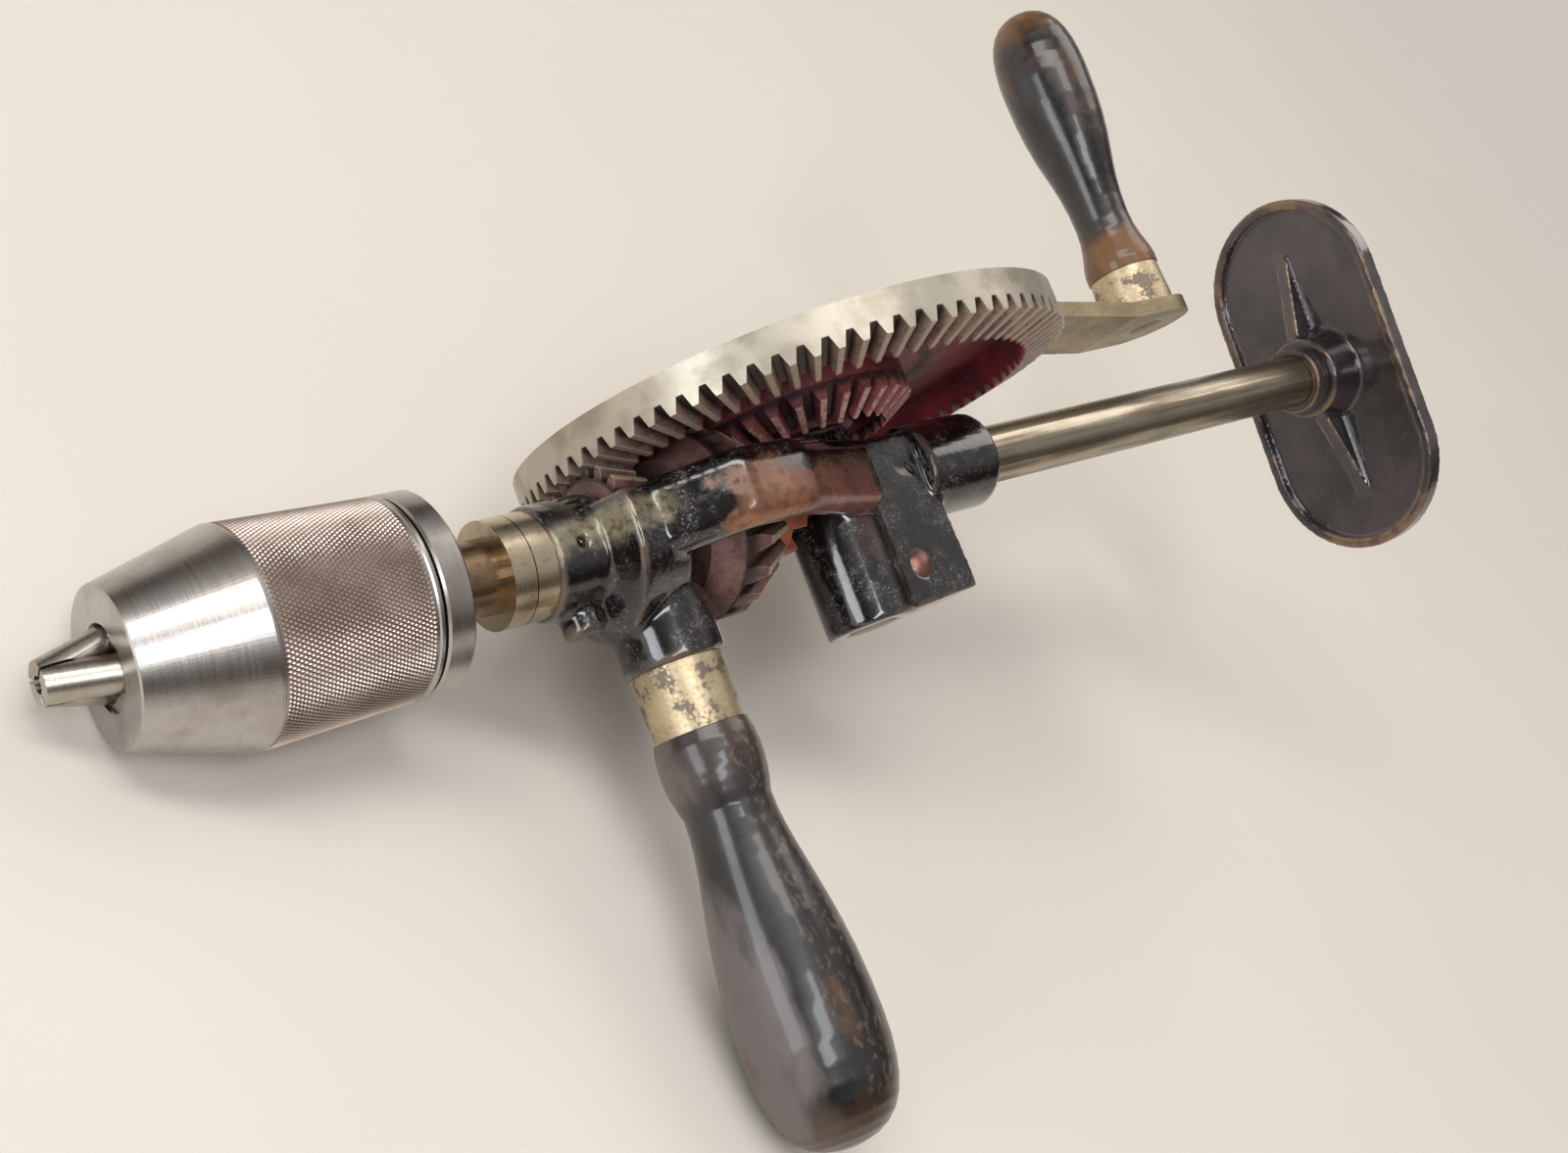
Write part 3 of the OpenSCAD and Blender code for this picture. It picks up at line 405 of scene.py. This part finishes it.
def black_wood(name, root, tip, middle, neck_wear, tip_wear, dust_and_sheen):
    """Black paint on turned wood, worn to brown at both ends and speckled on its plate side.

    Root and tip are places along the tool's Y, and middle is the grip's place along X.
    The last share says how grey its chuck side is, with dust and a painted sheen.
    """
    f = Finish(name)
    grain = f.noise(2.2, 5, (1, 0.06, 1))
    patches = f.noise(14, 8, (1, 0.45, 1))
    haze = f.noise(22, 7, (1, 0.3, 1), (4, 2, 9))
    scuff = f.noise(1.8, 7, (1, 0.6, 1), (2, 6, 1))
    across = (f.x - middle) / GRIP_RADIUS + (patches - 0.5) * 1.6
    chips = f.step(scuff, 0.52, 0.66) * f.step(across, -0.6, 0.3) * (f.step(haze, 0.42, 0.56) * 0.75 + 0.25)
    # Grey on the chuck side: dust and a painted sheen
    dust = (1 - f.step(across, -1.05, -0.75)) * dust_and_sheen
    along = (f.y - root) / (tip - root)
    neck = (1 - f.step(along + (patches - 0.5) * 0.16, 0.1, 0.18)) * neck_wear
    end = f.step(along + (patches - 0.5) * 0.24, 0.85, 0.95) * tip_wear
    bare = (f.step(patches, 0.57, 0.7) * 0.4).most(neck.most(end))
    black = f.mix(f.step(haze, 0.36, 0.64), rgb(13, 12, 14), rgb(48, 45, 46))
    brown = f.mix(grain, rgb(140, 94, 52), rgb(82, 56, 38))
    black = f.mix(dust, black, rgb(104, 95, 94))
    specks = f.mix(f.step(grain, 0.4, 0.6), rgb(126, 116, 106), rgb(122, 88, 62))
    colour = f.mix(bare, f.mix(chips * 0.55, black, specks), brown)
    height = grain * 0.3 - chips * 0.4 - bare * 0.4
    rough = bare * 0.15 + haze * 0.22 + scuff * 0.2 + dust * 0.2 + 0.1
    return f.done(colour, rough, 0.0, f.bump(height, 0.12, 0.5), 0.35)


def tarnished_tube(name, light, stain):
    """Nickelled tube, tarnished olive brown in streaks along its length."""
    f = Finish(name)
    streaks = f.noise(3, 6, (0.05, 1, 1))
    patches = f.noise(16, 6)
    fine = f.noise(0.7, 4)
    dirt = f.step(streaks * 0.75 + patches * 0.25, 0.38, 0.62)
    colour = f.mix(dirt * 0.75, light, stain)
    return f.done(colour, fine * 0.16 + dirt * 0.14 + 0.18, 0.95, f.bump(streaks, 0.04, 0.5))


# The floor is solid up to the first distance and gone at the second, which is half its width, in metres
FLOOR_SOLID = 0.7
FLOOR_HALF = 2.0


def pale_floor(name):
    """Pale warm floor under the tool, which fades into the backdrop away from it."""
    f = Finish(name)
    cloud = f.noise(160, 3)
    grain = f.noise(1.2, 3)
    away = f.node("VectorMath", {"operation": "LENGTH"}, {0: f.place}, "Value")
    colour = f.mix(cloud, rgb(230, 223, 214), rgb(224, 216, 206))
    solid = 1 - f.step(away, FLOOR_SOLID, FLOOR_HALF)
    return f.done(colour, 0.85, 0.0, f.bump(grain, 0.1, 0.25), alpha=solid)


def piece(name, mesh, material, body, slot, *nodes):
    """A finished piece that stands for CAD nodes and rides on their body."""
    mesh.materials.clear()
    mesh.materials.append(material)
    made = bpy.data.objects.new(name, mesh)
    bpy.context.scene.collection.objects.link(made)
    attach(made, body)
    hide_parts(*nodes)


def evaluated(made):
    """Plain mesh of an object with its modifiers applied; the object itself is removed."""
    bpy.context.view_layer.update()
    mesh = bpy.data.meshes.new_from_object(made.evaluated_get(bpy.context.evaluated_depsgraph_get()))
    bpy.data.objects.remove(made)
    return mesh


# Rounds that spread the wear, and standard deviations from no wear to full wear
WEAR_ROUNDS = 3
WEAR_SPREAD = 4


def mark_edges(mesh):
    """Stores how far each vertex stands out from its neighbours, as wear from 0 to 1."""
    count = len(mesh.vertices)
    places = np.empty(count * 3)
    mesh.vertices.foreach_get("co", places)
    normals = np.empty(count * 3)
    mesh.vertices.foreach_get("normal", normals)
    ends = np.empty(len(mesh.edges) * 2, int)
    mesh.edges.foreach_get("vertices", ends)
    places, normals, ends = places.reshape(-1, 3), normals.reshape(-1, 3), ends.reshape(-1, 2)
    degree = np.bincount(ends.ravel(), minlength=count)[:, None]

    def neighbours(values):
        total = np.zeros_like(values)
        np.add.at(total, ends[:, 0], values[ends[:, 1]])
        np.add.at(total, ends[:, 1], values[ends[:, 0]])
        return total / np.maximum(degree, 1)

    proud = ((places - neighbours(places)) * normals).sum(1, keepdims=True)
    for _ in range(WEAR_ROUNDS):
        proud = neighbours(proud)
    wear = np.clip(0.5 + proud[:, 0] / (WEAR_SPREAD * proud.std()), 0, 1)
    mesh.attributes.new(EDGE_NAME, "FLOAT", "POINT").data.foreach_set("value", wear.astype(np.float32))


# Points of a CAD mesh that are this close are the same point, in metres
WELD_REACH = 1e-6


def welded(node):
    """Copy of a CAD node's mesh with its faces joined."""
    mesh = frame["nodes"][node].data.copy()
    weld = bmesh.new()
    weld.from_mesh(mesh)
    bmesh.ops.remove_doubles(weld, verts=weld.verts, dist=WELD_REACH)
    weld.to_mesh(mesh)
    weld.free()
    return mesh


# Angles from which an edge stays sharp, smaller on pieces with teeth
CREASE = math.radians(25)
TOOTH_CREASE = math.radians(13)
TOOTHED = ("gear_wheel", "low_pinion", "high_pinion", "clutch_collar")


def smooth_skin(node):
    """The CAD solid's own faces, shaded round along its curves."""
    mesh = welded(node)
    mesh.shade_smooth()
    mesh.set_sharp_from_angle(angle=TOOTH_CREASE if node in TOOTHED else CREASE)
    rough = bpy.data.objects.new(node + "_rough", mesh)
    bpy.context.scene.collection.objects.link(rough)
    even = rough.modifiers.new("Even", "WEIGHTED_NORMAL")
    even.keep_sharp = True
    return evaluated(rough)


# A face belongs to the rim beyond this share of the radius, and leans along the axis by less than the second
RIM_SHARE = 0.99
RIM_LEAN = 0.2


def round_rim(mesh):
    """Shades the faces at the rim of a wheel about the gear stud as one true round."""
    places = in_tool(mesh)
    reach = np.hypot(places[:, 0], places[:, 2])
    edge = RIM_SHARE * reach.max()
    normals = [loop.vector.copy() for loop in mesh.corner_normals]
    for face in mesh.polygons:
        upright = abs(face.normal.dot(stud_axis)) < RIM_LEAN
        if upright and min(reach[v] for v in face.vertices) > edge:
            for loop in face.loop_indices:
                x, _, z = places[mesh.loops[loop].vertex_index]
                normals[loop] = (tool_turn @ Vector((x, 0, z))).normalized()
    mesh.normals_split_custom_set(normals)


def cast_skin(node, grain_mm, rounds):
    """The CAD solid with the soft fillets and edges of a casting."""
    mesh = welded(node)
    rough = bpy.data.objects.new(node + "_rough", mesh)
    bpy.context.scene.collection.objects.link(rough)
    remesh = rough.modifiers.new("Grain", "REMESH")
    remesh.mode = "VOXEL"
    remesh.voxel_size = grain_mm * MM
    smooth = rough.modifiers.new("Fettled", "SMOOTH")
    smooth.factor = 0.5
    smooth.iterations = rounds
    skin = evaluated(rough)
    skin.shade_smooth()
    mark_edges(skin)
    return skin


# A corner of an outline flatter than this is left out
STRAIGHT = 1e-7


def hull_profile(places, radii):
    """Outer outline of a turned piece: the upper hull of its rings, as (place, radius)."""
    outline = []
    for point in sorted(set(zip(places.round(6), radii.round(6)))):
        while len(outline) > 1 and (
                (outline[-1][0] - outline[-2][0]) * (point[1] - outline[-2][1])
                - (outline[-1][1] - outline[-2][1]) * (point[0] - outline[-2][0])) > -STRAIGHT:
            outline.pop()
        outline.append(point)
    return outline


def ring_profile(places, radii, bore):
    """Outer outline of a turned piece with waists: each ring's largest radius, without the bore inside."""
    rings = {}
    for place, radius in zip(places.round(6), radii):
        rings[place] = max(radius, rings.get(place, 0))
    outline = sorted(rings.items())
    inside = [i for i in range(1, len(outline) - 1)
              if outline[i][1] < bore and min(outline[i - 1][1], outline[i + 1][1]) > bore]
    return [point for i, point in enumerate(outline) if i not in inside]


def smoothed(outline, steps):
    """A flowing curve through the outline's points."""
    points = [np.array(p) for p in outline]
    ends = [points[0]] + points + [points[-1]]
    curve = []
    for a, b, c, d in zip(ends, ends[1:], ends[2:], ends[3:]):
        for t in np.arange(steps) / steps:
            curve.append(0.5 * (2 * b + (c - a) * t + (2 * a - 5 * b + 4 * c - d) * t * t
                                + (3 * b - a - 3 * c + d) * t ** 3))
    return [tuple(p) for p in curve] + [tuple(points[-1])]


# Share of the radius that a turned shape keeps, and the radius below which a point lies on the axis
ROUND_TRIM = 0.9985
ON_AXIS = 1e-5


def turned(name, loop, axis, centre, sides, closed):
    """Mesh of revolution about a line of the tool, trimmed to stay inside the CAD's flat sided rounds.

    A closed loop gives a ring, an open one meets the axis.
    """
    along = tool_turn @ axis
    across = along.orthogonal().normalized()
    over = along.cross(across)
    start = tool @ centre
    turns = [2 * math.pi * i / sides for i in range(sides)]
    spokes = [across * math.cos(turn) + over * math.sin(turn) for turn in turns]
    made = bmesh.new()
    rows = []
    for place, radius in loop:
        hub = start + along * place
        if radius < ON_AXIS:
            rows.append([made.verts.new(hub)])
        else:
            rows.append([made.verts.new(hub + spoke * radius * ROUND_TRIM) for spoke in spokes])
    pairs = list(zip(rows, rows[1:])) + ([(rows[-1], rows[0])] if closed else [])
    for low, high in pairs:
        for i in range(sides):
            corners = [low[i % len(low)], low[(i + 1) % len(low)],
                       high[(i + 1) % len(high)], high[i % len(high)]]
            unique = list(dict.fromkeys(corners))
            if len(unique) > 2:
                made.faces.new(unique)
    bmesh.ops.recalc_face_normals(made, faces=made.faces)
    mesh = bpy.data.meshes.new(name)
    made.to_mesh(mesh)
    made.free()
    return mesh


# Finishes
steel_nose = turned_steel("chuck_steel", rgb(186, 181, 178), rgb(142, 126, 112), 0.45, 0.27)
steel_jaw = turned_steel("jaw_steel", rgb(180, 174, 164), rgb(116, 92, 70), 0.7, 0.3)
steel_neck = turned_steel("brown_neck", rgb(146, 122, 98), rgb(84, 62, 48), 0.8, 0.3)
steel_ring = turned_steel("nickel_ring", rgb(204, 190, 166), rgb(138, 112, 84), 0.75, 0.26)
steel_arm = plain_steel("crank_steel", rgb(158, 144, 116), rgb(108, 92, 68), 0.55)
steel_stud = plain_steel("stud_steel", rgb(112, 100, 88), rgb(48, 40, 34), 0.9)
steel_pin = plain_steel("pin_steel", rgb(150, 112, 102), rgb(96, 62, 56), 0.7)
casting_japan = frame_japan("frame_japan")
breast_japan = plate_japan("plate_japan")
gear_red = gear_paint("gear_wheel_paint")
# Light, dark and crest colours of the pinions; the crest colour is rubbed paint with a painted highlight
pinion_paint = (rgb(122, 90, 84), rgb(78, 52, 50), rgb(214, 198, 172))
low_iron = worn_iron("low_pinion_iron", *pinion_paint, "low_pinion")
high_iron = worn_iron("high_pinion_iron", *pinion_paint, "high_pinion")
clutch_iron = worn_iron("clutch_iron", rgb(172, 92, 66), rgb(118, 58, 44), rgb(222, 196, 160))
brass = ferrule_brass("ferrule_brass")
tube_nickel = tarnished_tube("tube_nickel", rgb(174, 164, 146), rgb(98, 84, 66))

NODE_FINISH = {
    "front_bush": steel_ring, "rear_bush": brass, "thrust_race": steel_ring, "thrust_cup": steel_ring,
    "thrust_balls": steel_nose, "gear_stud": steel_arm, "stud_washer": steel_arm, "stud_nut": steel_arm,
    "lug_pin": steel_pin, "gear_wheel": gear_red, "crank_arm": steel_arm, "crank_rivets": steel_arm,
    "crank_stud": steel_stud, "crank_ferrule": brass, "side_handle_ferrule": brass, "spindle": steel_neck,
    "high_pinion": high_iron, "low_pinion": low_iron, "clutch_collar": clutch_iron, "clutch_key": steel_arm,
    "chuck_body": steel_nose, "chuck_collar": steel_nose, "chuck_nut": steel_nose, "jaw_1": steel_jaw,
    "jaw_2": steel_jaw, "jaw_3": steel_jaw, "side_handle_stud": steel_arm, "breast_tube": tube_nickel,
}
body_of = {node: body for body, nodes in frame["record"]["behaviour"]["bodies"].items() for node in nodes}
slot_of = {part["node"]: part["material_slot"] for part in frame["record"]["subparts"]}
for node, finish in NODE_FINISH.items():
    skin = smooth_skin(node)
    if node == "gear_wheel":
        round_rim(skin)
    piece(node + "_skin", skin, finish, body_of[node], slot_of[node], node)

# Castings: name, node, grain in mm, rounds of smoothing, finish
CASTINGS = (
    ("casting", "frame_casting", 0.7, 16, casting_japan),
    ("plate", "breast_plate", 0.6, 7, breast_japan),
    ("collar_skin", "plate_collar", 0.4, 4, breast_japan),
)
for name, node, grain_mm, rounds, finish in CASTINGS:
    piece(name, cast_skin(node, grain_mm, rounds), finish, body_of[node], slot_of[node], node)


def wooden_grip(name, node, body, neck_wear, tip_wear, dust_and_sheen):
    """Smooth turned grip on the CAD grip's own outline, with its tenon inside the ferrule."""
    points = tool_points(node)
    centre = (points.min(0) + points.max(0)) / 2
    radii = np.hypot(points[:, 0] - centre[0], points[:, 2] - centre[2])
    outline = ring_profile(points[:, 1], radii, GRIP_BORE)
    if outline[-1][1] > outline[0][1]:
        outline.reverse()
    tenon, wood = outline[0], outline[1:]
    root, tip = wood[0][0], wood[-1][0]
    curve = [(root + (place - root) * GRIP_TRIM, radius) for place, radius in smoothed(wood, GRIP_STEPS)]
    shape = [(tenon[0], 0.0), tenon, (root, tenon[1])] + curve[:-1] + [(curve[-1][0], 0.0)]
    mesh = turned(name, shape, Vector((0, 1, 0)), Vector((centre[0], 0, centre[2])), GRIP_SIDES, False)
    mesh.shade_smooth()
    paint = black_wood(name + "_paint", root, tip, float(centre[0]), neck_wear, tip_wear, dust_and_sheen)
    piece(name, mesh, paint, body, "black_wood", node)


wooden_grip("crank_wood", "crank_grip", "crank_handle", 0.9, 0.9, 0.2)
wooden_grip("side_wood", "side_handle_grip", "frame", 0.1, 0.25, 0.8)

# Knurled sleeve: a turned body, cut down on the barrel, with rows of small diamonds
KNURL_DEPTH = 0.4 * MM
KNURL_PITCH = 1.9 * MM
KNURL_WIDTH = 1.2 * MM
KNURL_MARGIN = 1.2 * MM
KNURL_SINK = 0.08 * MM
SLEEVE_WALL = 2.4 * MM
SLEEVE_LIP = 0.9 * MM
SLEEVE_SIDES = 160
NOSE_FACE = 0.1 * MM
sleeve_points = tool_points("chuck_sleeve")
sleeve_radii = np.hypot(sleeve_points[:, 1], sleeve_points[:, 2])
sleeve_outline = hull_profile(sleeve_points[:, 0], sleeve_radii)
corner = max(sleeve_outline, key=lambda p: p[1])
back_rim = [p for p in sleeve_outline if p[0] > corner[0]][0]
nose_hole = sleeve_radii[sleeve_points[:, 0] < sleeve_outline[0][0] + NOSE_FACE].min()
knurl_from, knurl_to = corner[0] + KNURL_MARGIN, back_rim[0] - KNURL_MARGIN
barrel_slope = (back_rim[1] - corner[1]) / (back_rim[0] - corner[0])


def barrel_radius(place):
    """Radius of the tapering barrel at a place along X, which may also be a socket."""
    return (place - corner[0]) * barrel_slope + corner[1]


def knurled_steel(name, light, stain):
    """Satin steel, darker between the knurl's diamonds, deeper than the barrel's own radius."""
    f = Finish(name)
    proud = f.around(f.y, f.z) - barrel_radius(f.x)
    deep = 1 - f.step(proud, KNURL_DEPTH * -0.95, KNURL_DEPTH * -0.3)
    patches = f.noise(11, 6)
    worn = f.step(patches, 0.35, 0.7)
    colour = f.mix(deep * (worn * 0.2 + 0.8), f.mix(worn * 0.4, light, rgb(196, 178, 166)), stain)
    return f.done(colour, patches * 0.1 + deep * 0.2 + 0.26, 1.0)


outer = [p for p in sleeve_outline if p[0] <= corner[0]]
outer += [(knurl_from - KNURL_DEPTH, barrel_radius(knurl_from)),
          (knurl_from, barrel_radius(knurl_from) - KNURL_DEPTH),
          (knurl_to, barrel_radius(knurl_to) - KNURL_DEPTH),
          (knurl_to + KNURL_DEPTH, barrel_radius(knurl_to))]
outer += [p for p in sleeve_outline if p[0] > corner[0]]
lip = outer[0][0] + SLEEVE_LIP
inner = [(outer[-1][0], back_rim[1] - SLEEVE_WALL), (corner[0], corner[1] - SLEEVE_WALL),
         (lip, outer[1][1] - SLEEVE_WALL), (lip, nose_hole)]
sleeve_mesh = turned("sleeve_body", outer + inner, Vector((1, 0, 0)), Vector((0, 0, 0)), SLEEVE_SIDES, True)
piece("sleeve_body", sleeve_mesh, steel_nose, "sleeve", "satin_steel", "chuck_sleeve")


def knurl_tree(material):
    """Geometry nodes that set staggered rows of small pyramids round a tapering barrel along X."""
    tree = bpy.data.node_groups.new("Knurl", "GeometryNodeTree")
    for label, kind in (("Rows", "Int"), ("Around", "Int"), ("Start", "Float"), ("Radius", "Float"),
                        ("Slope", "Float"), ("Pitch", "Float"), ("Height", "Float")):
        tree.interface.new_socket(label, in_out="INPUT", socket_type="NodeSocket" + kind)
    tree.interface.new_socket("Geometry", in_out="OUTPUT", socket_type="NodeSocketGeometry")
    knurl = Nodes(tree)
    size = {s.name: Wire(knurl, s) for s in tree.nodes.new("NodeGroupInput").outputs if s.name}
    index = knurl.node("GeometryNodeInputIndex")
    row = index.maths("FLOOR", index / size["Around"])
    stagger = row.maths("MODULO", row, 2.0) * 0.5
    angle = (index - row * size["Around"] + stagger) * (2 * math.pi) / size["Around"]
    reach = (row + 1) * size["Pitch"] * 0.5
    radius = size["Radius"] + reach * size["Slope"]
    spot = knurl.node("CombineXYZ", None, {
        0: size["Start"] + reach,
        1: radius * angle.maths("COSINE", angle),
        2: radius * angle.maths("SINE", angle)})
    dots = knurl.node("GeometryNodeMeshLine", None, {"Count": size["Rows"] * size["Around"]})
    spread = knurl.node("GeometryNodeSetPosition", None, {"Geometry": dots, "Position": spot})
    pyramid = knurl.node("GeometryNodeMeshCone", {"fill_type": "NGON"}, {
        "Vertices": 4, "Radius Top": 0.0, "Radius Bottom": 1.0, "Depth": 1.0})
    outward = knurl.node("CombineXYZ", None, {0: angle - math.pi / 2})
    width = radius * (2 * math.pi) / size["Around"]
    stretch = knurl.node("CombineXYZ", None, {0: size["Pitch"] * 0.5, 1: width * 0.5, 2: size["Height"]})
    set_out = knurl.node("GeometryNodeInstanceOnPoints", None, {
        "Points": spread, "Instance": pyramid, "Rotation": outward, "Scale": stretch})
    real = knurl.node("GeometryNodeRealizeInstances", None, {0: set_out})
    painted = knurl.node("GeometryNodeSetMaterial", None, {"Geometry": real, "Material": material})
    tree.links.new(painted.socket, tree.nodes.new("NodeGroupOutput").inputs[0])
    return tree


barrel = bpy.data.objects.new("knurl_rough", bpy.data.meshes.new("knurl_rough"))
bpy.context.scene.collection.objects.link(barrel)
knurl = barrel.modifiers.new("Knurl", "NODES")
steel_knurl = knurled_steel("knurl_steel", rgb(232, 218, 208), rgb(112, 86, 74))
knurl.node_group = knurl_tree(steel_knurl)
knurl_sizes = {
    "Rows": int((knurl_to - knurl_from) / (KNURL_PITCH / 2)) - 1,
    "Around": int(2 * math.pi * corner[1] / KNURL_WIDTH),
    "Start": knurl_from, "Radius": barrel_radius(knurl_from) - KNURL_DEPTH - KNURL_SINK,
    "Slope": barrel_slope, "Pitch": KNURL_PITCH, "Height": KNURL_DEPTH + KNURL_SINK,
}
for socket in knurl.node_group.interface.items_tree:
    if socket.in_out == "INPUT":
        knurl[socket.identifier] = knurl_sizes[socket.name]
knurl_mesh = evaluated(barrel)
knurl_mesh.transform(tool)
piece("sleeve_knurl", knurl_mesh, steel_knurl, "sleeve", "satin_steel", "chuck_sleeve")

# Light, floor and camera
floor_mesh = bpy.data.meshes.new("floor")
floor_mesh.from_pydata([(x, y, 0) for x, y in ((-1, -1), (1, -1), (1, 1), (-1, 1))], [], [(0, 1, 2, 3)])
floor_mesh.transform(Matrix.Diagonal((FLOOR_HALF, FLOOR_HALF, 1, 1)))
floor_mesh.materials.append(pale_floor("pale_floor"))
floor = bpy.data.objects.new("floor", floor_mesh)
bpy.context.scene.collection.objects.link(floor)

camera = bpy.data.objects.new("camera", bpy.data.cameras.new("camera"))
camera.data.sensor_width = SENSOR_W
camera.data.lens = FOCAL_PX * SENSOR_W / IMAGE_W
camera.data.clip_start = 0.01
camera.matrix_world = tool @ Matrix.Translation(CAMERA_PLACE) @ CAMERA_TURN.to_matrix().to_4x4()
bpy.context.scene.collection.objects.link(camera)
bpy.context.scene.camera = camera

# The point that the lamps look at, about the middle of the tool
LAMP_AIM = Vector((0, 0, 0.06))


def soft_lamp(name, place, wide, tall, watts, tint):
    """Large soft lamp that looks at the middle of the tool."""
    lamp = bpy.data.objects.new(name, bpy.data.lights.new(name, "AREA"))
    lamp.data.shape = "RECTANGLE"
    lamp.data.size, lamp.data.size_y, lamp.data.energy, lamp.data.color = wide, tall, watts, tint
    lamp.location = place
    lamp.visible_camera = False
    lamp.rotation_euler = (LAMP_AIM - Vector(place)).to_track_quat("-Z", "Y").to_euler()
    bpy.context.scene.collection.objects.link(lamp)


soft_lamp("key", (-1.1, 0.5, 2.2), 0.6, 2.4, 27, (1.0, 0.98, 0.95))
soft_lamp("window", (-1.3, -0.95, 2.0), 0.45, 1.5, 19, (0.94, 0.97, 1.0))
soft_lamp("fill", (1.6, 0.9, 2.2), 1.6, 1.6, 18, (1.0, 0.96, 0.92))
soft_lamp("front", (-1.6, -0.05, 0.38), 0.9, 0.6, 9, (0.9, 0.95, 1.0))

# The room by height: pale wall at the horizon, dim warm band above it, soft ceiling.
# Heights are the sines of the angle above the horizon, from the start of a change to its end.
WALL = (0.62, 0.57, 0.52, 1)
BAND = (0.07, 0.055, 0.045, 1)
CEILING = (0.46, 0.45, 0.43, 1)
WALL_END = (0.14, 0.3)
BAND_END = (0.4, 0.85)
world = bpy.data.worlds.new("studio")
world.use_nodes = True
room = Nodes(world.node_tree)
height = room.node("SeparateXYZ", None, {0: room.node("TexCoord", out="Generated")}, 2)
low_room = room.mix(room.step(height, *WALL_END), WALL, BAND)
whole_room = room.mix(room.step(height, *BAND_END), low_room, CEILING)
world.node_tree.links.new(whole_room.socket, world.node_tree.nodes["Background"].inputs["Color"])
bpy.context.scene.world = world
bpy.context.scene.view_settings.view_transform = "Standard"
